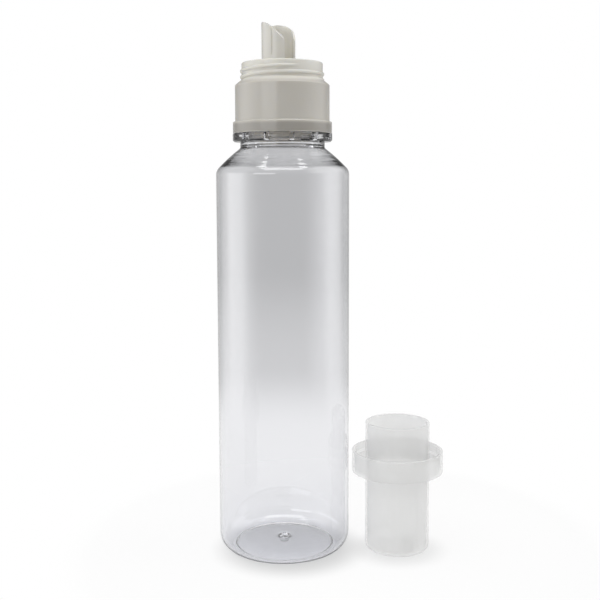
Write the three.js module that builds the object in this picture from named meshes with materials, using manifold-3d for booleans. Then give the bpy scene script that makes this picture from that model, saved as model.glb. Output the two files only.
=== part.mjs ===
// A clear bottle for liquid detergent with a pourer snapped on its neck, and the bottle's
// dosing cap, which stands mouth up beside it. Millimetres, +Z up, the ground at z = 0.
// The origin is the middle of the rectangle that the bottle and the cap cover together.

import * as THREE from 'three';
import { mergeVertices } from 'three/addons/utils/BufferGeometryUtils.js';
import Module from 'manifold-3d';

const wasm = await Module();
wasm.setup();

// Facets of a full turn, and steps of the curves, from large to small
const turnFacets = 64;
const sweepSteps = 16;
const heelSteps = 7;
const domeSteps = 6;
const shoulderSteps = 5;
const cornerSteps = 4;
const edgeSteps = 3;

// Gap that is left where two pieces seat on each other
const seatGap = 0.3;

// Bottle: body
const bodyRadius = 38.3;
const bodyWall = 0.6;
const shoulderStart = 219.2;
const shoulderRound = 6;
const shoulderAngle = 48;

// Bottle: base
const standRadius = 29.6;
const standBand = 2;
const heelHeight = 9.5;
const pushUp = 3.6;
const baseWall = 1.3;
const gateRadius = 3.4;
const gateTip = 2.6;
const gateDrop = 1.2;
const domeMeet = 20;

// Bottle: neck, ratchet ring and snap bead
const neckRadius = 24.25;
const neckWall = 2.1;
const neckFillet = 1.6;
const ringBottom = 238;
const ringHeight = 4.6;
const ringReach = 4.3;
const ringLip = 0.9;
const notchCount = 12;
const notchWidth = 2.6;
const notchDepth = 3.6;
const notchPlace = -79;
const beadReach = 0.7;
const beadHeight = 2.4;
const beadLift = 9.5;

// Pourer: outside. Its skirt clears the snap bead, and its well clears the neck's bore.
const snapGap = 0.5;
const flangeReach = 1.35;
const flangeHeight = 6.4;
const skirtHeight = 21;
const skirtWall = 1.6;
const collarReach = 1.5;
const collarHeight = 8;
const coneHeight = 4.2;
const rimRound = 0.7;
const skirtTurn = 50;

// Pourer: well
const collarWall = 1.6;
const wellGap = 0.45;
const wellWall = 1.5;
const wellDepth = 31;
const floorWall = 1.5;
const floorTilt = 6;
const deckWall = 1.8;

// Pourer: spout, a tube that is open on one side and cut off along a sweep
const spoutRadius = 9.65;
const spoutWall = 1.3;
const spoutHeight = 23.2;
const spoutOffset = 2.7;
const spoutFacing = -40;
const slotWidth = 9.4;
const sweepDrop = 13;
const sweepPower = 2.7;
const grooveWidth = 1.2;
const grooveDepth = 0.5;
const grooveLift = 4;
const groovePlace = -111;

// Dosing cap. Turned over, its cup clears the well, and its sleeve clears the collar.
const cupGap = 1.5;
const cupWall = 1.25;
const cupHeight = 75.5;
const cupFloor = 1.4;
const cupRound = 3;
const cupFoot = 2.6;
const cupHollow = 0.6;
const lipRound = 0.4;
const threadGap = 1.85;
const sleeveWall = 1.5;
const sleeveBottom = 46.3;
const sleeveHeight = 12.4;
const sleeveLedge = 1.4;

// The cap's place: how far its sleeve stands from the bottle, and how far forward its axis is
const capGap = 2;
const capForward = 7.5;

// How far a cutting shape reaches past what it cuts
const overcut = 2;

const radians = THREE.MathUtils.degToRad;

// An arc of an outline about (r, z), from one angle to another, in degrees from +r
function arc(r, z, reach, height, from, to, steps = cornerSteps) {
  const points = [];
  for (let step = 0; step <= steps; step += 1) {
    const angle = radians(from + ((to - from) * step) / steps);
    points.push([r + reach * Math.cos(angle), z + height * Math.sin(angle)]);
  }
  return points;
}

// A closed geometry as a solid that can be joined and cut
function toSolid(geometry) {
  geometry.deleteAttribute('normal');
  geometry.deleteAttribute('uv');
  const merged = mergeVertices(geometry, 1e-4);
  const corners = merged.index.array;
  const triangles = [];
  for (let first = 0; first < corners.length; first += 3) {
    const [a, b, c] = corners.slice(first, first + 3);
    if (a !== b && b !== c && c !== a) {
      triangles.push(a, b, c);
    }
  }
  return new wasm.Manifold(new wasm.Mesh({
    numProp: 3,
    vertProperties: Float32Array.from(merged.attributes.position.array),
    triVerts: Uint32Array.from(triangles),
  }));
}

// A solid as a mesh with its name and colour
function toMesh(solid, name, material) {
  const { vertProperties, triVerts } = solid.getMesh();
  const geometry = new THREE.BufferGeometry();
  geometry.setAttribute('position', new THREE.BufferAttribute(vertProperties, 3));
  geometry.setIndex(new THREE.BufferAttribute(triVerts, 1));
  geometry.computeVertexNormals();
  const mesh = new THREE.Mesh(geometry, material);
  mesh.name = name;
  return mesh;
}

// A solid of revolution from an outline of [radius, height] points, counter-clockwise
// in the section's right half. An outline that leaves the axis alone is closed here.
function revolve(outline) {
  const points = outline.map(([r, z]) => new THREE.Vector2(r, z));
  const onAxis = outline[0][0] === 0 && outline[outline.length - 1][0] === 0;
  if (!onAxis) {
    points.push(points[0].clone());
  }
  const geometry = new THREE.LatheGeometry(points, turnFacets);
  geometry.rotateX(Math.PI / 2);
  return toSolid(geometry);
}

// A round bar between two heights
function bar(radius, low, high) {
  return revolve([[0, low], [radius, low], [radius, high], [0, high]]);
}

// A box between two heights that points away from the axis at an angle
function spoke(inner, outer, width, low, high, angle) {
  const box = new THREE.BoxGeometry(outer - inner, width, high - low);
  box.translate((inner + outer) / 2, 0, (low + high) / 2);
  box.rotateZ(radians(angle));
  return toSolid(box);
}

// Radii that follow from the neck's, from piece to piece
const neckBore = neckRadius - neckWall;
const ringRadius = neckRadius + ringReach;
const skirtInner = neckRadius + beadReach + snapGap;
const skirtRadius = skirtInner + skirtWall;
const flangeRadius = skirtRadius + flangeReach;
const wellOuter = neckBore - wellGap;
const wellRadius = wellOuter - wellWall;
const collarRadius = wellOuter + collarReach;
const cupRadius = wellRadius - cupGap;
const sleeveInner = collarRadius + threadGap;
const sleeveRadius = sleeveInner + sleeveWall;

// Heights that several pieces share
const ringTop = ringBottom + ringHeight;
const flangeBottom = ringTop + seatGap;
const flangeTop = flangeBottom + flangeHeight;
const skirtTop = flangeTop + skirtHeight;
const collarBottom = skirtTop + coneHeight;
const rimTop = collarBottom + collarHeight;
const deckBottom = skirtTop - deckWall;
const neckTop = deckBottom - seatGap;
const beadBottom = ringTop + beadLift;

// The cap's axis, measured from the bottle's axis
const capReach = bodyRadius + sleeveRadius + capGap;
const capAside = Math.sqrt(capReach ** 2 - capForward ** 2);

// Bottle: blown body, shoulder and neck with its ratchet ring, all one moulding
function makeBottle() {
  const slope = radians(shoulderAngle);
  const coneStart = [
    bodyRadius - shoulderRound * (1 - Math.cos(slope)),
    shoulderStart + shoulderRound * Math.sin(slope),
  ];
  const filletEnd = neckRadius + neckFillet * (1 - Math.cos(slope));
  const coneEnd = coneStart[1] + (coneStart[0] - filletEnd) / Math.tan(slope);
  const neckStart = coneEnd + neckFillet * Math.sin(slope);
  const standOuter = standRadius + standBand / 2;
  const standInner = standRadius - standBand / 2;
  const innerRadius = bodyRadius - bodyWall;
  const shoulderAxis = bodyRadius - shoulderRound;

  const outside = [
    [0, pushUp - gateDrop],
    [gateTip, pushUp - gateDrop],
    ...arc(gateRadius, 0, standInner - gateRadius, pushUp, 90, 0, domeSteps),
    ...arc(standOuter, heelHeight, bodyRadius - standOuter, heelHeight, -90, 0, heelSteps),
    ...arc(shoulderAxis, shoulderStart, shoulderRound, shoulderRound, 0, shoulderAngle, shoulderSteps),
    ...arc(neckRadius + neckFillet, neckStart, neckFillet, neckFillet, 180 + shoulderAngle, 180, edgeSteps),
    [neckRadius, ringBottom],
    [ringRadius - ringLip, ringBottom],
    [ringRadius, ringBottom + ringLip],
    [ringRadius, ringTop],
    [neckRadius, ringTop],
    [neckRadius, beadBottom],
    [neckRadius + beadReach, beadBottom + beadReach],
    [neckRadius, beadBottom + beadHeight],
    [neckRadius, neckTop],
  ];
  const inside = [
    [neckBore, neckTop],
    [neckBore, neckStart],
    ...arc(shoulderAxis - bodyWall, shoulderStart, shoulderRound, shoulderRound, shoulderAngle, 0),
    ...arc(standOuter, heelHeight, innerRadius - standOuter, heelHeight - baseWall, 0, -90, heelSteps),
    ...arc(0, baseWall, standInner, pushUp, domeMeet, 90),
  ];
  let bottle = revolve([...outside, ...inside]);
  for (let notch = 0; notch < notchCount; notch += 1) {
    const angle = notchPlace + (360 * notch) / notchCount;
    bottle = bottle.subtract(
      spoke(neckRadius, ringRadius + overcut, notchWidth, ringTop - notchDepth, ringTop + overcut, angle),
    );
  }
  return bottle;
}

// The pourer's walls: skirt, cone and threaded collar outside, and the wall of the well
function makePourerWalls() {
  const collarInner = collarRadius - collarWall;
  const lowestFloor = rimTop - wellDepth - wellRadius * Math.tan(radians(floorTilt)) - floorWall;
  const catchRadius = neckRadius + seatGap;
  return revolve([
    [catchRadius, flangeBottom],
    [flangeRadius, flangeBottom],
    [flangeRadius, flangeTop],
    [skirtRadius, flangeTop],
    ...arc(skirtRadius - rimRound, skirtTop - rimRound, rimRound, rimRound, 0, skirtTurn, edgeSteps),
    [collarRadius, collarBottom],
    ...arc(collarRadius - rimRound, rimTop - rimRound, rimRound, rimRound, 0, 90, edgeSteps),
    [collarInner, rimTop],
    [collarInner, collarBottom - deckWall],
    [wellRadius, skirtTop - deckWall],
    [wellRadius, lowestFloor],
    [wellOuter, lowestFloor],
    [wellOuter, deckBottom],
    [skirtInner, deckBottom],
    [skirtInner, beadBottom - seatGap],
    [catchRadius, beadBottom - seatGap - (skirtInner - catchRadius)],
  ]);
}

// The well's floor, which slopes down to the open side of the spout
function makeWellFloor() {
  const side = 2 * (wellOuter + overcut);
  const slab = new THREE.BoxGeometry(side, side, floorWall);
  slab.translate(0, 0, -floorWall / 2);
  slab.rotateY(radians(floorTilt));
  slab.rotateZ(radians(spoutFacing));
  slab.translate(0, 0, rimTop - wellDepth);
  const reach = wellRadius + wellWall / 2;
  return toSolid(slab).intersect(bar(reach, rimTop - 2 * wellDepth, rimTop));
}

// What the sweep takes off the spout: everything above a curve that falls towards its slot
function makeSweep(noseTop) {
  const reach = spoutRadius + overcut;
  const outline = new THREE.Shape();
  outline.moveTo(-reach, noseTop);
  for (let step = 0; step <= sweepSteps; step += 1) {
    const along = spoutRadius * ((2 * step) / sweepSteps - 1);
    const share = (1 + along / spoutRadius) / 2;
    outline.lineTo(along, noseTop - sweepDrop * share ** sweepPower);
  }
  outline.lineTo(reach, noseTop - sweepDrop - overcut);
  outline.lineTo(reach, noseTop + overcut);
  outline.lineTo(-reach, noseTop + overcut);
  const cutter = new THREE.ExtrudeGeometry(outline, { depth: 2 * reach, bevelEnabled: false });
  cutter.translate(0, 0, -reach);
  cutter.rotateX(Math.PI / 2);
  cutter.rotateZ(radians(spoutFacing));
  return toSolid(cutter);
}

// Pourer: one white moulding whose spout stands in a well that drains back
function makePourer() {
  const facing = radians(spoutFacing);
  const aside = [-spoutOffset * Math.cos(facing), -spoutOffset * Math.sin(facing), 0];
  const floorLevel = rimTop - wellDepth;
  const noseTop = rimTop + spoutHeight;
  const root = floorLevel - 2 * floorWall;
  const past = spoutRadius + overcut;
  const grooveFoot = rimTop + grooveLift;
  const tube = bar(spoutRadius, root, noseTop)
    .subtract(makeSweep(noseTop))
    .subtract(spoke(0, past, slotWidth, floorLevel, noseTop, spoutFacing))
    .subtract(spoke(spoutRadius - grooveDepth, past, grooveWidth, grooveFoot, noseTop, groovePlace));
  const bore = bar(spoutRadius - spoutWall, root - wellDepth, noseTop + overcut);
  return makePourerWalls()
    .add(makeWellFloor())
    .add(tube.translate(aside))
    .subtract(bore.translate(aside));
}

// Dosing cap: a cup with a sleeve round it that screws on the pourer's collar. Turned over,
// the cup's mouth goes down into the well and its closed end covers the spout.
function makeDosingCap() {
  const cupInner = cupRadius - cupWall;
  const sleeveTop = sleeveBottom + sleeveHeight;
  const footInner = cupRadius - cupRound - cupFoot;
  const innerRound = cupRound - cupWall;
  return revolve([
    [0, cupHollow],
    [footInner - cupHollow, cupHollow],
    [footInner, 0],
    ...arc(cupRadius - cupRound, cupRound, cupRound, cupRound, -90, 0),
    [cupRadius, sleeveBottom],
    [sleeveRadius - lipRound, sleeveBottom],
    [sleeveRadius, sleeveBottom + lipRound],
    [sleeveRadius, sleeveTop - lipRound],
    [sleeveRadius - lipRound, sleeveTop],
    [sleeveInner, sleeveTop],
    [sleeveInner, sleeveBottom + sleeveLedge],
    [cupRadius, sleeveBottom + sleeveLedge],
    [cupRadius, cupHeight - lipRound],
    [cupRadius - lipRound, cupHeight],
    [cupInner, cupHeight],
    ...arc(cupInner - innerRound, cupHollow + cupFloor + innerRound, innerRound, innerRound, 0, -90, edgeSteps),
    [0, cupHollow + cupFloor],
  ]);
}

const clearPlastic = new THREE.MeshStandardMaterial({
  name: 'clear plastic', color: 0xdfe1e8, roughness: 0.06, metalness: 0, transparent: true, opacity: 0.3,
});
const whitePlastic = new THREE.MeshStandardMaterial({
  name: 'white plastic', color: 0xe4e0d4, roughness: 0.4, metalness: 0,
});
const naturalPlastic = new THREE.MeshStandardMaterial({
  name: 'natural plastic', color: 0xdcdcd8, roughness: 0.35, metalness: 0, transparent: true, opacity: 0.75,
});

const bottle = toMesh(makeBottle(), 'bottle', clearPlastic);
const pourer = toMesh(makePourer(), 'pourer', whitePlastic);
const dosingCap = toMesh(makeDosingCap(), 'dosing_cap', naturalPlastic);
dosingCap.position.set(capAside, -capForward, 0);

// The pair, moved so that the origin is the middle of its footprint
const group = new THREE.Group();
group.add(bottle, pourer, dosingCap);
const back = Math.max(bodyRadius, sleeveRadius - capForward);
const front = Math.max(bodyRadius, sleeveRadius + capForward);
group.position.set(-(capAside + sleeveRadius - bodyRadius) / 2, (front - back) / 2, 0);

export default group;
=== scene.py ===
import math

import bmesh
import bpy
from mathutils import Matrix, Vector


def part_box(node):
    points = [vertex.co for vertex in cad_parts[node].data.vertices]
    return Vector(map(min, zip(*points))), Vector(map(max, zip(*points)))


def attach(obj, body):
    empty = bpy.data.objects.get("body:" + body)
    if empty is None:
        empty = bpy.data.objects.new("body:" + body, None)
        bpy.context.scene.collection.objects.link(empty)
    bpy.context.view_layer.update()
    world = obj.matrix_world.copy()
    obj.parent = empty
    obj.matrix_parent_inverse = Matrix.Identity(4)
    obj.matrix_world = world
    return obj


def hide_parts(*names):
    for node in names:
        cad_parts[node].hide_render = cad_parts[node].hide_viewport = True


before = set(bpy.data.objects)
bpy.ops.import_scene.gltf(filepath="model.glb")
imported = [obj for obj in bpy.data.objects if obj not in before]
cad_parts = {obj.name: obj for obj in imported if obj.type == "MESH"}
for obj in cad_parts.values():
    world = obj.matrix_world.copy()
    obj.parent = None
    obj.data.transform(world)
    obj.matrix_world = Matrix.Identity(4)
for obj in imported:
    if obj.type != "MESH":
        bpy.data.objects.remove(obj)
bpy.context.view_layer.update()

# Lengths below are millimetres unless a name says otherwise
MM = 0.001

# Facets of a full turn, and steps along the roundings of a profile
TURN = 192
CORNER = 8
SHOULDER_STEPS = 12
HEEL_STEPS = 18
DOME_STEPS = 14
INNER_DOME_STEPS = 12
SWEEP_STEPS = 40

# Degrees between faces from which an edge looks sharp
SHARP = 32
POURER_SHARP = 28

# Places taken from the frame: the axes of the bottle and of the cap
bottle_low, bottle_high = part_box("bottle")
cap_low, cap_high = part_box("dosing_cap")
pourer_low, pourer_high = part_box("pourer")
BOTTLE_X = (bottle_low.x + bottle_high.x) / 2 / MM
BOTTLE_Y = (bottle_low.y + bottle_high.y) / 2 / MM
CAP_X = (cap_low.x + cap_high.x) / 2 / MM
CAP_Y = (cap_low.y + cap_high.y) / 2 / MM

# Camera, as fitted to the photograph: pixels of a 600 pixel wide frame, and degrees
FRAME_WIDTH = 600
FOCAL = 929.3
SENSOR = 36.0
SHIFT_Y = -0.05
CAMERA_BACK = 539.2
CAMERA_HEIGHT = 216.3
CAMERA_TILT = 5.54
CAMERA_PAN = 1.04
CAMERA_ROLL = -0.19

# Bottle
BODY_RADIUS = (bottle_high.x - bottle_low.x) / 2 / MM
BODY_WALL = 0.6
SHOULDER_START = 219.2
SHOULDER_ROUND = 6
SHOULDER_ANGLE = 48
SHOULDER_SWELL = 0.3
STREAKS = 0.35
STAND_RADIUS = 29.6
STAND_BAND = 2
HEEL_HEIGHT = 9.5
PUSH_UP = 3.6
BASE_WALL = 1.3
HEEL_WALL = 0.8
INNER_DOME = (20, 82)
GATE_RADIUS = 3.4
GATE_TIP = 2.6
GATE_DROP = 2.6
GATE_BUMP = 0.3
NECK_RADIUS = 24.25
NECK_BORE = 22.15
NECK_FILLET = 1.6
NECK_LINES = (236.8, 235.2)
LINE_HEIGHT = 1.0
LINE_DEPTH = 0.3
BORE_FILLET = 3
BORE_LIFT = 0.6
RING_BOTTOM = 238
RING_HEIGHT = 4.6
RING_RADIUS = 28.55
RING_LIP = 0.9
NOTCH_COUNT = 12
NOTCH_WIDTH = 2.6
NOTCH_FLOOR = 2.4
NOTCH_DEPTH = 3.6
NOTCH_PLACE = -79
BEAD_REACH = 0.7
BEAD_HEIGHT = 2.4
BEAD_LIFT = 9.5
SEAT_GAP = 0.3

# Pourer
FLANGE_RADIUS = (pourer_high.x - pourer_low.x) / 2 / MM
FLANGE_HEIGHT = 6.4
FLANGE_EDGE = 0.25
FLANGE_ROUND = 0.5
SKIRT_RADIUS = 27.05
SKIRT_HEIGHT = 21
SKIRT_WALL = 1.6
SKIRT_FILLET = 0.4
COLLAR_RADIUS = 23.2
COLLAR_HEIGHT = 9.4
CONE_HEIGHT = 2.8
CONE_EDGE = 0.3
COLLAR_EDGE = 0.2
RIM_ROUND = 0.7
RIM_INNER_ROUND = 0.3
COLLAR_WALL = 1.6
WELL_RADIUS = 20.2
WELL_WALL = 1.5
WELL_DEPTH = 31
FLOOR_WALL = 1.5
FLOOR_TILT = 6
DECK_WALL = 1.8
SPOUT_RADIUS = 9.65
SPOUT_WALL = 1.3
SPOUT_HEIGHT = 23.2
SPOUT_OFFSET = 2.7
SPOUT_FACING = -40
SLOT_WIDTH = 9.4
SWEEP_DROP = 13
SWEEP_POWER = 2.7
NOSE_DROP = 2.4
NOSE_SHARE = 0.25
GROOVE_WIDTH = 1.2
GROOVE_DEPTH = 0.5
GROOVE_LIFT = 4
GROOVE_PLACE = -111

# Screw threads of the pourer's collar and of the cap's sleeve. The profile of their ridge is
# given from its upper foot to its lower one, as shares of its depth and as heights, and the ridge
# fades out over some degrees at each end
THREAD_PITCH = 3.4
THREAD_DEPTH = 0.8
THREAD_START = -64.5
THREAD_TOP = 3.6
THREAD_TURNS = 2.0
THREAD_FADE = 26
THREAD_LEAST = 0.02
THREAD_PROFILE = (
    (-0.3, 1.35),
    (0.35, 1.0),
    (0.85, 0.6),
    (1.0, 0.2),
    (1.0, -0.25),
    (0.8, -0.6),
    (0.3, -0.95),
    (-0.3, -1.2),
)
CAP_THREAD_DEPTH = 1.3
CAP_THREAD_START = 20
CAP_THREAD_TOP = 3.0
CAP_THREAD_TURNS = 1.5

# Dosing cap
CUP_RADIUS = 18.7
CUP_WALL = 1.25
CUP_HEIGHT = cap_high.z / MM
CUP_FLOOR = 1.4
CUP_ROUND = 3
CUP_FOOT = 2.6
CUP_HOLLOW = 0.6
LIP_ROUND = 0.4
SLEEVE_RADIUS = (cap_high.x - cap_low.x) / 2 / MM
SLEEVE_WALL = 1.5
SLEEVE_BOTTOM = 46.3
SLEEVE_HEIGHT = 12.4
SLEEVE_LEDGE = 1.4

# Ribs inside the cup: a fan of short ones in front, and long ones given by their angle and the
# heights of their ends
RIB_WIDTH = 0.5
RIB_DEPTH = 0.8
FAN_START = -90
FAN_STEP = 3.9
FAN_COUNT = 8
FAN_LOW = 3
FAN_HIGH = 13
FAN_FALL = 0.2
LONG_RIBS = (
    (-102, 8, 38),
    (-55, 5, 38),
)

# How far a cutting tool reaches past what it cuts
OVERCUT = 2

# Colours of the plastics, and the tint that the translucent ones give to passing light
CLEAR_COLOUR = (0.965, 0.967, 0.98, 1)
CLEAR_TINT = (0.92, 0.923, 0.935, 1)
# The white plastic's tones stand in for light: the flange's is painted shade, the collar's a painted
# glow, the skirt's lies between
FLANGE_PAINTED_SHADE = (0.42, 0.4, 0.365, 1)
SKIRT_TONE = (0.63, 0.605, 0.555, 1)
COLLAR_PAINTED_GLOW = (0.84, 0.82, 0.765, 1)
NATURAL_COLOUR = (0.96, 0.96, 0.95, 1)
NATURAL_TINT = (0.86, 0.86, 0.86, 1)

# Heights over which they change: the flange's painted shade above the ring and on the flange's
# underside, and the shoulder's unevenness above the start of the shoulder
FLANGE_SHADE_FADE = (4.5, 6.5)
UNDERSIDE_SHADE_FADE = (0.1, 0.6)
STREAKS_FADE = (0, 6)

# Studio light. Levels are brightness, 1 for white. Angles are degrees round the bottle from the
# camera's side, to the right as positive, and degrees above the horizon. A panel is given by its
# level, its sides and their softness, and the front one by its level, its sides and its heights
BACKDROP = 0.57
BACKDROP_SIDE = (110, 165)
ROOM_FRONT = 0.23
CEILING = 0.2
CEILING_FADE = (0, 16)
SIDE_PANELS = (
    (1.8, (-118, -58), 44),
    (1.0, (76, 118), 26),
)
SIDE_HEIGHT = (-12, 12)
SIDE_SOFT = 12
HIGH_PANELS = (
    (0.75, (-130, -60), 40),
    (1.35, (55, 130), 40),
)
HIGH_HEIGHT = (12, 55)
FRONT_PANEL = (2.1, (-52, -13), (4, 16))
FRONT_SOFT = 2.5

# Lamps overhead: two small ones, a weak one between them and a wide one in front. Each is given by
# its level, its sides, its back and front, and their softness, all as tangents of the angle from
# straight up, for which heights under LEAST_RISE count as that
LAMPS = (
    (5.0, (-0.44, -0.26), (-0.14, 0.1), 0.04),
    (5.0, (0.26, 0.44), (-0.14, 0.1), 0.04),
    (1.0, (-0.22, 0.22), (-0.02, 0.1), 0.04),
    (3.0, (-0.6, 0.6), (0.3, 0.9), 0.1),
)
LEAST_RISE = 0.05

# Floor: how white its paper is near the object and further off, and metres from the object over
# which things change on it
FLOOR_REACH = 4000
PAPER = 0.92
PAPER_FAR = 0.25
PAPER_REACH = (0.12, 0.5)
PAPER_FILL = 0.05
PAPER_SEEN = 0.89
PAPER_PALE = 0.85
SHADOW_REACH = (0.08, 0.17)

# Soft shades under the bottle and the cap: the middle, the metres from it at which the shade
# starts and ends to fade, and the level inside
CONTACT_SHADES = (
    (BOTTLE_X + 3.5, BOTTLE_Y - 7, 0.026, 0.05, 0.66),
    (CAP_X, CAP_Y - 4, 0.013, 0.033, 0.82),
)

# How the floor behind a clear wall turns grey: start and end in metres, and the share of it
GREY_REACH = (
    (0.25, 0.52, 0.6),
    (0.25, 1.7, 0.4),
)

# Heights that several pieces share
RING_TOP = RING_BOTTOM + RING_HEIGHT
FLANGE_BOTTOM = RING_TOP + SEAT_GAP
FLANGE_TOP = FLANGE_BOTTOM + FLANGE_HEIGHT
SKIRT_TOP = FLANGE_TOP + SKIRT_HEIGHT
COLLAR_BOTTOM = SKIRT_TOP + CONE_HEIGHT
RIM_TOP = COLLAR_BOTTOM + COLLAR_HEIGHT
DECK_BOTTOM = SKIRT_TOP - DECK_WALL
NECK_TOP = DECK_BOTTOM - SEAT_GAP
BEAD_BOTTOM = RING_TOP + BEAD_LIFT


# Camera

def place_camera():
    tilt, pan, roll = (math.radians(a) for a in (CAMERA_TILT, CAMERA_PAN, CAMERA_ROLL))
    forward = Vector((
        math.sin(pan) * math.cos(tilt),
        math.cos(pan) * math.cos(tilt),
        -math.sin(tilt),
    ))
    level = Vector((math.cos(pan), -math.sin(pan), 0))
    upright = level.cross(forward)
    right = math.cos(roll) * level + math.sin(roll) * upright
    up = -math.sin(roll) * level + math.cos(roll) * upright
    data = bpy.data.cameras.new("camera")
    data.sensor_width = SENSOR
    data.lens = FOCAL / FRAME_WIDTH * SENSOR
    data.shift_y = SHIFT_Y
    camera = bpy.data.objects.new("camera", data)
    turn = Matrix((right, up, -forward)).transposed().to_4x4()
    where = Vector((BOTTLE_X, BOTTLE_Y - CAMERA_BACK, CAMERA_HEIGHT)) * MM
    camera.matrix_world = Matrix.Translation(where) @ turn
    bpy.context.scene.collection.objects.link(camera)
    bpy.context.scene.camera = camera


# Mesh helpers: outlines are lists of (radius, height) points

def arc(r, z, reach, height, start, end, steps=CORNER):
    """Points round (r, z), from start to end in degrees, on an ellipse of reach and height."""
    points = []
    for step in range(steps + 1):
        angle = math.radians(start + (end - start) * step / steps)
        points.append((r + reach * math.cos(angle), z + height * math.sin(angle)))
    return points


def rounding(r, z, radius, start, end, steps=CORNER):
    return arc(r, z, radius, radius, start, end, steps)


def new_object(name, vertices, faces):
    mesh = bpy.data.meshes.new(name)
    mesh.from_pydata([Vector(v) * MM for v in vertices], [], faces)
    mesh.validate()
    obj = bpy.data.objects.new(name, mesh)
    bpy.context.scene.collection.objects.link(obj)
    return obj


def revolve(name, outline, x=0.0, y=0.0, turn=TURN):
    """A closed solid of revolution. An outline that starts and ends off the axis is a ring."""
    ring = outline[0][0] > 0 and outline[-1][0] > 0
    vertices, rows = [], []
    for r, z in outline:
        if r == 0:
            rows.append([len(vertices)] * turn)
            vertices.append((x, y, z))
            continue
        rows.append([len(vertices) + i for i in range(turn)])
        for i in range(turn):
            angle = 2 * math.pi * i / turn
            vertices.append((x + r * math.cos(angle), y + r * math.sin(angle), z))
    faces = []
    last = len(rows) if ring else len(rows) - 1
    for k in range(last):
        low, high = rows[k], rows[(k + 1) % len(rows)]
        for i in range(turn):
            j = (i + 1) % turn
            corners = [low[i], low[j], high[j], high[i]]
            face = [c for n, c in enumerate(corners) if c not in corners[:n]]
            if len(face) > 2:
                faces.append(face)
    return new_object(name, vertices, faces)


def box(name, low, high, angle=0.0, centre=(0.0, 0.0)):
    """A box from corner to corner, turned about the vertical line through centre."""
    turn = Matrix.Rotation(math.radians(angle), 3, "Z")
    flat = ((low[0], low[1]), (high[0], low[1]), (high[0], high[1]), (low[0], high[1]))
    vertices = []
    for z in (low[2], high[2]):
        for x, y in flat:
            spun = turn @ Vector((x, y, z))
            vertices.append((spun.x + centre[0], spun.y + centre[1], z))
    faces = [(3, 2, 1, 0), (4, 5, 6, 7), (0, 1, 5, 4), (1, 2, 6, 5), (2, 3, 7, 6), (3, 0, 4, 7)]
    return new_object(name, vertices, faces)


def combine(obj, tool, operation):
    """Joins or cuts obj with tool, then throws the tool away."""
    modifier = obj.modifiers.new("cut", "BOOLEAN")
    modifier.object = tool
    modifier.operation = operation
    modifier.solver = "MANIFOLD"
    graph = bpy.context.evaluated_depsgraph_get()
    mesh = bpy.data.meshes.new_from_object(obj.evaluated_get(graph))
    obj.modifiers.remove(modifier)
    old = obj.data
    obj.data = mesh
    mesh.name = old.name
    bpy.data.meshes.remove(old)
    bpy.data.objects.remove(tool)
    return obj


def face_out(obj):
    work = bmesh.new()
    work.from_mesh(obj.data)
    bmesh.ops.recalc_face_normals(work, faces=work.faces)
    work.to_mesh(obj.data)
    work.free()


def smooth(obj, sharp=SHARP):
    obj.data.shade_smooth()
    obj.data.set_sharp_from_angle(angle=math.radians(sharp))


# Bottle

def notch_cutter(angle):
    """A notch of the ring, which opens outwards between slanted sides."""
    turn = math.radians(angle)
    widths = (
        (NECK_RADIUS, NOTCH_FLOOR),
        (RING_RADIUS, NOTCH_WIDTH),
        (RING_RADIUS + OVERCUT, NOTCH_WIDTH),
    )
    flat = [(r, -width / 2) for r, width in widths]
    flat += [(r, width / 2) for r, width in reversed(widths)]
    count = len(flat)
    corners = []
    for z in (RING_TOP - NOTCH_DEPTH, RING_TOP + OVERCUT):
        for r, half in flat:
            x = BOTTLE_X + r * math.cos(turn) - half * math.sin(turn)
            y = BOTTLE_Y + r * math.sin(turn) + half * math.cos(turn)
            corners.append((x, y, z))
    faces = [tuple(range(count - 1, -1, -1)), tuple(range(count, 2 * count))]
    for k in range(count):
        after = (k + 1) % count
        faces.append((k, after, after + count, k + count))
    cutter = new_object("notch", corners, faces)
    face_out(cutter)
    return cutter


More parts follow.
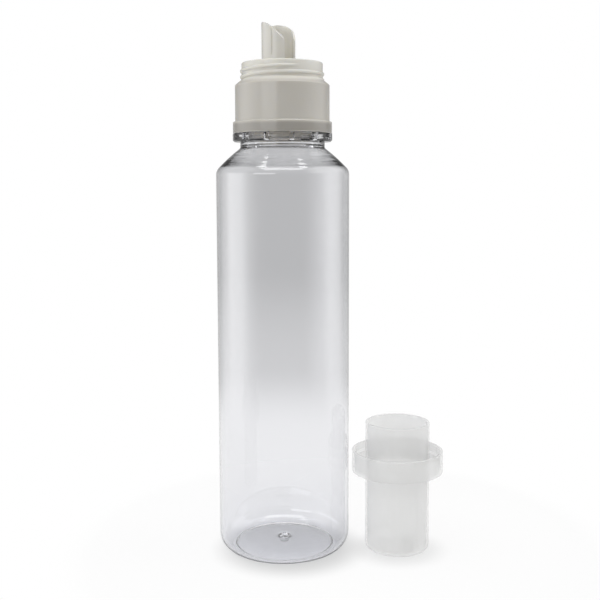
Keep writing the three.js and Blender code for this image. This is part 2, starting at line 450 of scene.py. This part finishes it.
def make_bottle():
    slope = math.radians(SHOULDER_ANGLE)
    cone_r = BODY_RADIUS - SHOULDER_ROUND * (1 - math.cos(slope))
    cone_z = SHOULDER_START + SHOULDER_ROUND * math.sin(slope)
    fillet_r = NECK_RADIUS + NECK_FILLET * (1 - math.cos(slope))
    cone_end = cone_z + (cone_r - fillet_r) / math.tan(slope)
    neck_start = cone_end + NECK_FILLET * math.sin(slope)
    outer_stand = STAND_RADIUS + STAND_BAND / 2
    inner_stand = STAND_RADIUS - STAND_BAND / 2
    inner = BODY_RADIUS - BODY_WALL
    outline = [(0, PUSH_UP - GATE_DROP), (GATE_TIP, PUSH_UP - GATE_DROP)]
    outline += arc(GATE_RADIUS, 0, inner_stand - GATE_RADIUS, PUSH_UP, 90, 0, DOME_STEPS)
    outline += arc(
        outer_stand, HEEL_HEIGHT, BODY_RADIUS - outer_stand, HEEL_HEIGHT, -90, 0, HEEL_STEPS
    )
    outline += rounding(
        BODY_RADIUS - SHOULDER_ROUND, SHOULDER_START, SHOULDER_ROUND, 0, SHOULDER_ANGLE, SHOULDER_STEPS
    )
    for step in range(1, SHOULDER_STEPS):
        share = step / SHOULDER_STEPS
        swell = SHOULDER_SWELL * 4 * share * (1 - share)
        outline.append((
            cone_r + (fillet_r - cone_r) * share + swell * math.cos(slope),
            cone_z + (cone_end - cone_z) * share + swell * math.sin(slope),
        ))
    outline += rounding(
        NECK_RADIUS + NECK_FILLET, neck_start, NECK_FILLET, 180 + SHOULDER_ANGLE, 180
    )
    outline += [
        (NECK_RADIUS, RING_BOTTOM),
        (RING_RADIUS - RING_LIP, RING_BOTTOM),
        (RING_RADIUS, RING_BOTTOM + RING_LIP),
        (RING_RADIUS, RING_TOP),
        (NECK_RADIUS, RING_TOP),
        (NECK_RADIUS, BEAD_BOTTOM),
        (NECK_RADIUS + BEAD_REACH, BEAD_BOTTOM + BEAD_REACH),
        (NECK_RADIUS, BEAD_BOTTOM + BEAD_HEIGHT),
        (NECK_RADIUS, NECK_TOP),
        (NECK_BORE, NECK_TOP),
    ]
    for level in NECK_LINES:
        outline += [
            (NECK_BORE, level + LINE_HEIGHT),
            (NECK_BORE + LINE_DEPTH, level + LINE_HEIGHT / 2),
            (NECK_BORE, level),
        ]
    outline += rounding(
        NECK_BORE + BORE_FILLET, neck_start + BORE_LIFT, BORE_FILLET, 180, 180 + SHOULDER_ANGLE
    )
    outline += rounding(
        inner - SHOULDER_ROUND, SHOULDER_START, SHOULDER_ROUND, SHOULDER_ANGLE, 0, SHOULDER_STEPS
    )
    outline += arc(
        outer_stand, HEEL_HEIGHT, inner - outer_stand, HEEL_HEIGHT - HEEL_WALL, 0, -90, HEEL_STEPS
    )
    outline += arc(0, BASE_WALL, inner_stand, PUSH_UP, *INNER_DOME, INNER_DOME_STEPS)
    gate = PUSH_UP + BASE_WALL
    outline += [
        (GATE_RADIUS, gate + GATE_BUMP / 2),
        (GATE_TIP, gate + GATE_BUMP),
        (0, gate + GATE_BUMP),
    ]
    bottle = revolve("bottle_clear", outline, BOTTLE_X, BOTTLE_Y)
    for notch in range(NOTCH_COUNT):
        cutter = notch_cutter(NOTCH_PLACE + 360 * notch / NOTCH_COUNT)
        combine(bottle, cutter, "DIFFERENCE")
    smooth(bottle)
    return bottle


# Pourer

def pourer_walls():
    skirt_inner = SKIRT_RADIUS - SKIRT_WALL
    collar_inner = COLLAR_RADIUS - COLLAR_WALL
    floor_fall = WELL_RADIUS * math.tan(math.radians(FLOOR_TILT))
    lowest = RIM_TOP - WELL_DEPTH - floor_fall - FLOOR_WALL
    catch = NECK_RADIUS + SEAT_GAP
    outline = [
        (catch, FLANGE_BOTTOM),
        (FLANGE_RADIUS - FLANGE_EDGE, FLANGE_BOTTOM),
        (FLANGE_RADIUS, FLANGE_BOTTOM + FLANGE_EDGE),
    ]
    outline += rounding(
        FLANGE_RADIUS - FLANGE_ROUND, FLANGE_TOP - FLANGE_ROUND, FLANGE_ROUND, 0, 90, 5
    )
    outline += rounding(
        SKIRT_RADIUS + SKIRT_FILLET, FLANGE_TOP + SKIRT_FILLET, SKIRT_FILLET, 270, 180, 4
    )
    outline += rounding(SKIRT_RADIUS - RIM_ROUND, SKIRT_TOP - RIM_ROUND, RIM_ROUND, 0, 50, 5)
    outline += [
        (COLLAR_RADIUS + CONE_EDGE, COLLAR_BOTTOM - CONE_EDGE),
        (COLLAR_RADIUS, COLLAR_BOTTOM + COLLAR_EDGE),
    ]
    outline += rounding(COLLAR_RADIUS - RIM_ROUND, RIM_TOP - RIM_ROUND, RIM_ROUND, 0, 90, 7)
    outline += rounding(
        collar_inner + RIM_INNER_ROUND, RIM_TOP - RIM_INNER_ROUND, RIM_INNER_ROUND, 90, 180, 4
    )
    outline += [
        (collar_inner, COLLAR_BOTTOM - DECK_WALL),
        (WELL_RADIUS, SKIRT_TOP - DECK_WALL),
        (WELL_RADIUS, lowest),
        (WELL_RADIUS + WELL_WALL, lowest),
        (WELL_RADIUS + WELL_WALL, DECK_BOTTOM),
        (skirt_inner, DECK_BOTTOM),
        (skirt_inner, BEAD_BOTTOM - SEAT_GAP),
        (catch, BEAD_BOTTOM - SEAT_GAP - (skirt_inner - catch)),
    ]
    return revolve("pourer_white", outline, BOTTLE_X, BOTTLE_Y)


def helix(name, radius, top, start, turns, depth, x, y, inward=False):
    """A thread ridge that winds down from its upper start, thinning out at both ends."""
    steps = int(turns * TURN)
    side = -1 if inward else 1
    vertices = []
    for step in range(steps + 1):
        turned = 360 * turns * step / steps
        angle = math.radians(start - turned)
        level = top - THREAD_PITCH * turned / 360
        fade = min(1.0, turned / THREAD_FADE, (360 * turns - turned) / THREAD_FADE)
        fade = fade * fade * (3 - 2 * fade)
        for out, rise in THREAD_PROFILE:
            reach = out if out < 0 else out * (THREAD_LEAST + (1 - THREAD_LEAST) * fade)
            r = radius + side * depth * reach
            vertices.append((x + r * math.cos(angle), y + r * math.sin(angle), level + rise))
    count = len(THREAD_PROFILE)
    faces = []
    for step in range(steps):
        for k in range(count):
            a = step * count + k
            b = step * count + (k + 1) % count
            faces.append((a, b, b + count, a + count))
    faces.append(tuple(range(count - 1, -1, -1)))
    faces.append(tuple(range(steps * count, steps * count + count)))
    ridge = new_object(name, vertices, faces)
    face_out(ridge)
    return ridge


def sweep_cutter(x, y, nose):
    """What is cut off above the spout's end, which sweeps down from its blunt nose."""
    reach = SPOUT_RADIUS + OVERCUT
    curve = [(-reach, nose - NOSE_DROP)]
    for step in range(SWEEP_STEPS + 1):
        along = SPOUT_RADIUS * (2 * step / SWEEP_STEPS - 1)
        share = (1 + along / SPOUT_RADIUS) / 2
        blunt = max(0.0, 1 - share / NOSE_SHARE)
        curve.append((along, nose - SWEEP_DROP * share ** SWEEP_POWER - NOSE_DROP * blunt ** 2))
    curve += [
        (reach, nose - SWEEP_DROP - OVERCUT),
        (reach, nose + OVERCUT),
        (-reach, nose + OVERCUT),
    ]
    turn = Matrix.Rotation(math.radians(SPOUT_FACING), 3, "Z")
    vertices = []
    for side in (-reach, reach):
        for along, z in curve:
            spun = turn @ Vector((along, side, z))
            vertices.append((spun.x + x, spun.y + y, z))
    count = len(curve)
    faces = [tuple(range(count)), tuple(range(2 * count - 1, count - 1, -1))]
    for k in range(count):
        after = (k + 1) % count
        faces.append((k, k + count, after + count, after))
    cutter = new_object("sweep", vertices, faces)
    face_out(cutter)
    return cutter


def bar(name, radius, low, high, x, y, turn=TURN):
    return revolve(name, [(0, low), (radius, low), (radius, high), (0, high)], x, y, turn)


def well_floor():
    """A slab that falls towards the spout's open side, cut to fit in the well's wall."""
    half = 2 * WELL_RADIUS
    slab = box("floor", (-half, -half, -FLOOR_WALL), (half, half, 0))
    facing = Matrix.Rotation(math.radians(SPOUT_FACING), 4, "Z")
    tip = Matrix.Rotation(math.radians(FLOOR_TILT), 4, "Y")
    where = Vector((BOTTLE_X, BOTTLE_Y, RIM_TOP - WELL_DEPTH)) * MM
    slab.data.transform(Matrix.Translation(where) @ (facing @ tip))
    inside = bar(
        "inside", WELL_RADIUS + WELL_WALL / 2, RIM_TOP - 2 * WELL_DEPTH, RIM_TOP, BOTTLE_X, BOTTLE_Y
    )
    return combine(slab, inside, "INTERSECT")


def make_pourer():
    facing = math.radians(SPOUT_FACING)
    x = BOTTLE_X - SPOUT_OFFSET * math.cos(facing)
    y = BOTTLE_Y - SPOUT_OFFSET * math.sin(facing)
    floor_level = RIM_TOP - WELL_DEPTH
    nose = RIM_TOP + SPOUT_HEIGHT
    root = floor_level - 2 * FLOOR_WALL
    tube = bar("tube", SPOUT_RADIUS, root, nose, x, y)
    combine(tube, sweep_cutter(x, y, nose), "DIFFERENCE")
    slot = box(
        "slot",
        (0, -SLOT_WIDTH / 2, floor_level),
        (SPOUT_RADIUS + OVERCUT, SLOT_WIDTH / 2, nose),
        SPOUT_FACING,
        (x, y),
    )
    combine(tube, slot, "DIFFERENCE")
    groove = box(
        "groove",
        (SPOUT_RADIUS - GROOVE_DEPTH, -GROOVE_WIDTH / 2, RIM_TOP + GROOVE_LIFT),
        (SPOUT_RADIUS + OVERCUT, GROOVE_WIDTH / 2, nose),
        GROOVE_PLACE,
        (x, y),
    )
    combine(tube, groove, "DIFFERENCE")
    pourer = pourer_walls()
    combine(pourer, well_floor(), "UNION")
    combine(pourer, tube, "UNION")
    bore = bar("bore", SPOUT_RADIUS - SPOUT_WALL, root - WELL_DEPTH, nose + OVERCUT, x, y)
    combine(pourer, bore, "DIFFERENCE")
    thread = helix(
        "thread", COLLAR_RADIUS, RIM_TOP - THREAD_TOP, THREAD_START, THREAD_TURNS,
        THREAD_DEPTH, BOTTLE_X, BOTTLE_Y,
    )
    combine(pourer, thread, "UNION")
    smooth(pourer, POURER_SHARP)
    return pourer


# Dosing cap

def cup_ribs():
    """Each rib's angle, and the heights of its ends."""
    fan = [
        (FAN_START + FAN_STEP * rib, FAN_LOW, FAN_HIGH - abs(rib - FAN_COUNT / 2) * FAN_FALL)
        for rib in range(FAN_COUNT)
    ]
    return fan + list(LONG_RIBS)


def make_cap():
    inner = CUP_RADIUS - CUP_WALL
    sleeve_inner = SLEEVE_RADIUS - SLEEVE_WALL
    sleeve_top = SLEEVE_BOTTOM + SLEEVE_HEIGHT
    foot_inner = CUP_RADIUS - CUP_ROUND - CUP_FOOT
    inner_round = CUP_ROUND - CUP_WALL
    lip_r = SLEEVE_RADIUS - LIP_ROUND
    outline = [(0, CUP_HOLLOW), (foot_inner - CUP_HOLLOW, CUP_HOLLOW), (foot_inner, 0)]
    outline += rounding(CUP_RADIUS - CUP_ROUND, CUP_ROUND, CUP_ROUND, -90, 0)
    outline += [(CUP_RADIUS, SLEEVE_BOTTOM), (lip_r, SLEEVE_BOTTOM)]
    outline += rounding(lip_r, SLEEVE_BOTTOM + LIP_ROUND, LIP_ROUND, -60, 0, 3)
    outline += rounding(lip_r, sleeve_top - LIP_ROUND, LIP_ROUND, 0, 90, 4)
    outline += [
        (sleeve_inner, sleeve_top),
        (sleeve_inner, SLEEVE_BOTTOM + SLEEVE_LEDGE),
        (CUP_RADIUS, SLEEVE_BOTTOM + SLEEVE_LEDGE),
    ]
    outline += rounding(CUP_RADIUS - LIP_ROUND, CUP_HEIGHT - LIP_ROUND, LIP_ROUND, 0, 90, 4)
    outline += [(inner, CUP_HEIGHT)]
    outline += rounding(
        inner - inner_round, CUP_HOLLOW + CUP_FLOOR + inner_round, inner_round, 0, -90, 6
    )
    outline += [(0, CUP_HOLLOW + CUP_FLOOR)]
    cap = revolve("cap_natural", outline, CAP_X, CAP_Y)
    thread = helix(
        "cap_thread", sleeve_inner, sleeve_top - CAP_THREAD_TOP, CAP_THREAD_START,
        CAP_THREAD_TURNS, CAP_THREAD_DEPTH, CAP_X, CAP_Y, inward=True,
    )
    combine(cap, thread, "UNION")
    for angle, low, high in cup_ribs():
        rib = box(
            "rib",
            (inner - RIB_DEPTH, -RIB_WIDTH / 2, low),
            (inner + CUP_WALL / 2, RIB_WIDTH / 2, high),
            angle,
            (CAP_X, CAP_Y),
        )
        combine(cap, rib, "UNION")
    smooth(cap)
    return cap


# Materials

# Places of a Mix node's colour sockets, which share their names with its other sockets
MIX_LOW = 6
MIX_HIGH = 7
MIX_RESULT = 2


def clean_tree(owner, output_type):
    """Empties the node tree of a material or world. Returns it with a new output."""
    owner.use_nodes = True
    tree = owner.node_tree
    tree.nodes.clear()
    return tree, tree.nodes.new(output_type)


def new_material(name):
    material = bpy.data.materials.new(name)
    tree, output = clean_tree(material, "ShaderNodeOutputMaterial")
    shader = tree.nodes.new("ShaderNodeBsdfPrincipled")
    tree.links.new(shader.outputs["BSDF"], output.inputs["Surface"])
    return material, tree, shader, output


def feed(tree, socket, value):
    """Links socket to value where that is a socket too, and sets it to value otherwise."""
    if isinstance(value, bpy.types.NodeSocket):
        tree.links.new(value, socket)
    else:
        socket.default_value = value


def link_math(tree, operation, first, second):
    """A Math node fed by sockets or numbers. Returns its result."""
    node = tree.nodes.new("ShaderNodeMath")
    node.operation = operation
    feed(tree, node.inputs[0], first)
    feed(tree, node.inputs[1], second)
    return node.outputs["Value"]


def slope(tree, value, start, end, low=0.0, high=1.0):
    """Goes smoothly from low to high as value goes from start to end."""
    node = tree.nodes.new("ShaderNodeMapRange")
    node.interpolation_type = "SMOOTHSTEP"
    for name, number in zip(("From Min", "From Max", "To Min", "To Max"), (start, end, low, high)):
        node.inputs[name].default_value = number
    tree.links.new(value, node.inputs["Value"])
    return node.outputs["Result"]


def place_of(tree, system="Object"):
    """The x, y and z of the shaded point."""
    place = tree.nodes.new("ShaderNodeTexCoord")
    parts = tree.nodes.new("ShaderNodeSeparateXYZ")
    tree.links.new(place.outputs[system], parts.inputs["Vector"])
    return [parts.outputs[axis] for axis in "XYZ"]


def levels(base, band):
    """The heights of a band above base, in metres."""
    return [(base + lift) * MM for lift in band]


def mix_colours(tree, share, low, high):
    """Goes from colour low to colour high as share goes from 0 to 1."""
    node = tree.nodes.new("ShaderNodeMix")
    node.data_type = "RGBA"
    tree.links.new(share, node.inputs["Factor"])
    feed(tree, node.inputs[MIX_LOW], low)
    feed(tree, node.inputs[MIX_HIGH], high)
    return node.outputs[MIX_RESULT]


def mix_shaders(tree, share, first, second):
    """Goes from the first shader to the second as share goes from 0 to 1."""
    node = tree.nodes.new("ShaderNodeMixShader")
    tree.links.new(share, node.inputs["Fac"])
    tree.links.new(first, node.inputs[1])
    tree.links.new(second, node.inputs[2])
    return node.outputs["Shader"]


def wavy_bump(tree, shader, scale, stretch, strength, distance):
    """A faint unevenness of the surface, with its scale along the height times stretch."""
    place = tree.nodes.new("ShaderNodeTexCoord")
    mapping = tree.nodes.new("ShaderNodeMapping")
    mapping.inputs["Scale"].default_value = (1, 1, stretch)
    noise = tree.nodes.new("ShaderNodeTexNoise")
    noise.inputs["Scale"].default_value = scale
    noise.inputs["Detail"].default_value = 2
    bump = tree.nodes.new("ShaderNodeBump")
    feed(tree, bump.inputs["Strength"], strength)
    bump.inputs["Distance"].default_value = distance
    tree.links.new(place.outputs["Object"], mapping.inputs["Vector"])
    tree.links.new(mapping.outputs["Vector"], noise.inputs["Vector"])
    tree.links.new(noise.outputs["Fac"], bump.inputs["Height"])
    tree.links.new(bump.outputs["Normal"], shader.inputs["Normal"])


def let_lamps_through(tree, shader, output, tint):
    """Light on its way to a dull surface passes the wall straight, so that its shadow is pale."""
    path = tree.nodes.new("ShaderNodeLightPath")
    shadow = path.outputs["Is Shadow Ray"]
    passing = link_math(tree, "MAXIMUM", shadow, path.outputs["Is Diffuse Ray"])
    clear = tree.nodes.new("ShaderNodeBsdfTransparent")
    clear.inputs["Color"].default_value = tint
    mixed = mix_shaders(tree, passing, shader.outputs["BSDF"], clear.outputs["BSDF"])
    tree.links.new(mixed, output.inputs["Surface"])


def clear_plastic():
    """Clear all over, and uneven from the shoulder up."""
    material, tree, shader, output = new_material("clear_plastic")
    shader.inputs["Base Color"].default_value = CLEAR_COLOUR
    shader.inputs["Roughness"].default_value = 0.02
    shader.inputs["IOR"].default_value = 1.57
    shader.inputs["Transmission Weight"].default_value = 1
    height = place_of(tree)[2]
    strength = slope(tree, height, *levels(SHOULDER_START, STREAKS_FADE), 0.0, STREAKS)
    wavy_bump(tree, shader, scale=30, stretch=8, strength=strength, distance=0.001)
    let_lamps_through(tree, shader, output, CLEAR_TINT)
    return material


def white_plastic():
    """Its colour grows paler with the height as painted light: painted shade on the flange, the
    skirt's tone, and a painted glow on the collar.
    """
    material, tree, shader, _ = new_material("white_plastic")
    height = place_of(tree)[2]
    # Painted shade: the flange is painted darker than the skirt, above the ring and off its underside
    above = slope(tree, height, *levels(RING_TOP, FLANGE_SHADE_FADE))
    below = slope(tree, height, *levels(FLANGE_BOTTOM, UNDERSIDE_SHADE_FADE), 1.0, 0.0)
    off_flange_shade = link_math(tree, "MAXIMUM", above, below)
    painted_tone = mix_colours(tree, off_flange_shade, FLANGE_PAINTED_SHADE, SKIRT_TONE)
    # Painted glow: the collar is painted paler, standing in for light through its thin wall
    collar_glow = slope(tree, height, SKIRT_TOP * MM, COLLAR_BOTTOM * MM)
    painted_tone = mix_colours(tree, collar_glow, painted_tone, COLLAR_PAINTED_GLOW)
    tree.links.new(painted_tone, shader.inputs["Base Color"])
    shader.inputs["Roughness"].default_value = 0.14
    shader.inputs["IOR"].default_value = 1.49
    shader.inputs["Subsurface Weight"].default_value = 0.45
    shader.inputs["Subsurface Radius"].default_value = (1.0, 0.9, 0.7)
    shader.inputs["Subsurface Scale"].default_value = 0.003
    wavy_bump(tree, shader, scale=900, stretch=1, strength=0.05, distance=0.0002)
    return material


def natural_plastic():
    material, tree, shader, output = new_material("natural_plastic")
    shader.inputs["Base Color"].default_value = NATURAL_COLOUR
    shader.inputs["Roughness"].default_value = 0.18
    shader.inputs["IOR"].default_value = 1.49
    shader.inputs["Alpha"].default_value = 0.32
    wavy_bump(tree, shader, scale=500, stretch=0.3, strength=0.05, distance=0.0003)
    let_lamps_through(tree, shader, output, NATURAL_TINT)
    return material


# Light and floor


def window(tree, value, start, end, soft):
    """1 between start and end, 0 outside, with soft sides."""
    rise = slope(tree, value, start - soft / 2, start + soft / 2)
    fall = slope(tree, value, end - soft / 2, end + soft / 2, 1.0, 0.0)
    return link_math(tree, "MULTIPLY", rise, fall)


def in_degrees(tree, angle):
    return link_math(tree, "MULTIPLY", angle, 180 / math.pi)


def azimuth_of(tree, aside, front):
    """Degrees from the camera's side, to the right as positive."""
    return in_degrees(tree, link_math(tree, "ARCTAN2", aside, front))


def add_share(tree, light, share, level):
    """The light, with a share of level added to it."""
    return link_math(tree, "ADD", light, link_math(tree, "MULTIPLY", share, level))


def bare_room(tree, azimuth):
    """The room without its panels: dim in front, with a grey backdrop."""
    turned = link_math(tree, "ABSOLUTE", azimuth, 0.0)
    return slope(tree, turned, *BACKDROP_SIDE, ROOM_FRONT, BACKDROP)


def room_light(tree, azimuth):
    """The room at the height of the horizon, with its soft side panels."""
    light = bare_room(tree, azimuth)
    for level, sides, soft in SIDE_PANELS:
        light = add_share(tree, light, window(tree, azimuth, *sides, soft), level)
    return light


def distance_from(tree, x, y):
    """Metres along the floor from the point (x, y), given in millimetres."""
    place = tree.nodes.new("ShaderNodeTexCoord")
    away = tree.nodes.new("ShaderNodeVectorMath")
    away.operation = "DISTANCE"
    away.inputs[1].default_value = (x * MM, y * MM, 0)
    tree.links.new(place.outputs["Object"], away.inputs[0])
    return away.outputs["Value"]


def floor_material():
    material = bpy.data.materials.new("floor")
    tree, output = clean_tree(material, "ShaderNodeOutputMaterial")
    path = tree.nodes.new("ShaderNodeLightPath")
    direct = path.outputs["Is Camera Ray"]

    # Lit paper, with the shadows that fall on it
    from_bottle = distance_from(tree, BOTTLE_X, BOTTLE_Y)
    paper = tree.nodes.new("ShaderNodeBsdfDiffuse")
    whiteness = slope(tree, from_bottle, *PAPER_REACH, PAPER, PAPER_FAR)
    tree.links.new(whiteness, paper.inputs["Color"])
    fill = tree.nodes.new("ShaderNodeEmission")
    fill.inputs["Strength"].default_value = PAPER_FILL
    lit = tree.nodes.new("ShaderNodeAddShader")
    tree.links.new(paper.outputs["BSDF"], lit.inputs[0])
    tree.links.new(fill.outputs["Emission"], lit.inputs[1])

    # Plain floor: behind a clear wall it falls away into the grey of the room
    x, y, _ = place_of(tree)
    aside = link_math(tree, "SUBTRACT", x, BOTTLE_X * MM)
    front = link_math(tree, "SUBTRACT", BOTTLE_Y * MM, y)
    room = room_light(tree, azimuth_of(tree, aside, front))
    soon, late = (
        slope(tree, from_bottle, start, end, 0.0, share) for start, end, share in GREY_REACH
    )
    off = link_math(tree, "ADD", soon, late)
    near = link_math(tree, "MULTIPLY", link_math(tree, "SUBTRACT", 1.0, off), PAPER_SEEN)
    grey = add_share(tree, near, off, room)

    # Seen straight it is white, with a soft shade under the bottle and the cap
    shade = 1.0
    for middle_x, middle_y, start, end, inside in CONTACT_SHADES:
        away = distance_from(tree, middle_x, middle_y)
        fading = slope(tree, away, start, end, inside, 1.0)
        shade = link_math(tree, "MULTIPLY", fading, shade)
    level = tree.nodes.new("ShaderNodeMix")
    tree.links.new(direct, level.inputs["Factor"])
    tree.links.new(grey, level.inputs["A"])
    tree.links.new(shade, level.inputs["B"])
    plain = tree.nodes.new("ShaderNodeEmission")
    tree.links.new(level.outputs["Result"], plain.inputs["Strength"])

    # The plain floor takes over from the paper further off, and mostly so where it is seen straight
    seen = link_math(tree, "ADD", direct, path.outputs["Is Transmission Ray"])
    seen = link_math(tree, "ADD", seen, path.outputs["Is Glossy Ray"])
    seen = link_math(tree, "MINIMUM", seen, 1.0)
    from_middle = distance_from(tree, (BOTTLE_X + CAP_X) / 2, BOTTLE_Y)
    far = slope(tree, from_middle, *SHADOW_REACH)
    pale = link_math(tree, "MAXIMUM", far, link_math(tree, "MULTIPLY", direct, PAPER_PALE))
    share = link_math(tree, "MULTIPLY", seen, pale)
    mixed = mix_shaders(tree, share, lit.outputs["Shader"], plain.outputs["Emission"])
    tree.links.new(mixed, output.inputs["Surface"])
    return material


def make_floor():
    floor = new_object(
        "floor",
        [
            (-FLOOR_REACH, -FLOOR_REACH, 0),
            (FLOOR_REACH, -FLOOR_REACH, 0),
            (FLOOR_REACH, FLOOR_REACH, 0),
            (-FLOOR_REACH, FLOOR_REACH, 0),
        ],
        [(0, 1, 2, 3)],
    )
    floor.data.materials.append(floor_material())


def set_world():
    """A room of soft light panels, which the camera itself sees as plain white."""
    world = bpy.data.worlds.new("studio")
    bpy.context.scene.world = world
    tree, output = clean_tree(world, "ShaderNodeOutputWorld")
    x, y, z = place_of(tree, "Generated")
    front = link_math(tree, "MULTIPLY", y, -1.0)
    azimuth = azimuth_of(tree, x, front)
    lift = in_degrees(tree, link_math(tree, "ARCSINE", z, 0.0))

    # The room darkens overhead, has panels at its sides, low and high, and one panel in front
    dark = slope(tree, lift, *CEILING_FADE)
    lit = link_math(tree, "SUBTRACT", 1.0, dark)
    light = link_math(tree, "MULTIPLY", bare_room(tree, azimuth), lit)
    light = add_share(tree, light, dark, CEILING)
    for panels, heights in ((SIDE_PANELS, SIDE_HEIGHT), (HIGH_PANELS, HIGH_HEIGHT)):
        tall = window(tree, lift, *heights, SIDE_SOFT)
        for level, sides, soft in panels:
            across = window(tree, azimuth, *sides, soft)
            panel = link_math(tree, "MULTIPLY", across, tall)
            light = add_share(tree, light, panel, level)
    level, sides, heights = FRONT_PANEL
    across = window(tree, azimuth, *sides, FRONT_SOFT)
    panel = link_math(tree, "MULTIPLY", across, window(tree, lift, *heights, FRONT_SOFT))
    light = add_share(tree, light, panel, level)

    # Lamps overhead, placed by how far they lean aside and to the front from straight up
    rise = link_math(tree, "MAXIMUM", z, LEAST_RISE)
    lean = link_math(tree, "DIVIDE", x, rise)
    nod = link_math(tree, "DIVIDE", front, rise)
    for level, sides, depth, soft in LAMPS:
        across = window(tree, lean, *sides, soft)
        lamp = link_math(tree, "MULTIPLY", across, window(tree, nod, *depth, soft))
        light = add_share(tree, light, lamp, level)

    studio = tree.nodes.new("ShaderNodeBackground")
    white = tree.nodes.new("ShaderNodeBackground")
    for background in (studio, white):
        background.inputs["Color"].default_value = (1, 1, 1, 1)
    tree.links.new(light, studio.inputs["Strength"])
    direct = tree.nodes.new("ShaderNodeLightPath").outputs["Is Camera Ray"]
    mixed = mix_shaders(tree, direct, studio.outputs["Background"], white.outputs["Background"])
    tree.links.new(mixed, output.inputs["Surface"])


# Build

place_camera()
bpy.context.scene.view_settings.view_transform = "Standard"
set_world()
make_floor()

for piece, material, node, slot in (
    (make_bottle(), clear_plastic(), "bottle", "clear_plastic"),
    (make_pourer(), white_plastic(), "pourer", "white_plastic"),
    (make_cap(), natural_plastic(), "dosing_cap", "natural_plastic"),
):
    piece.data.materials.clear()
    piece.data.materials.append(material)
    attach(piece, "root")
    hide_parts(node)


def plain(bounds):
    return [[round(float(v), 6) for v in corner] for corner in bounds]
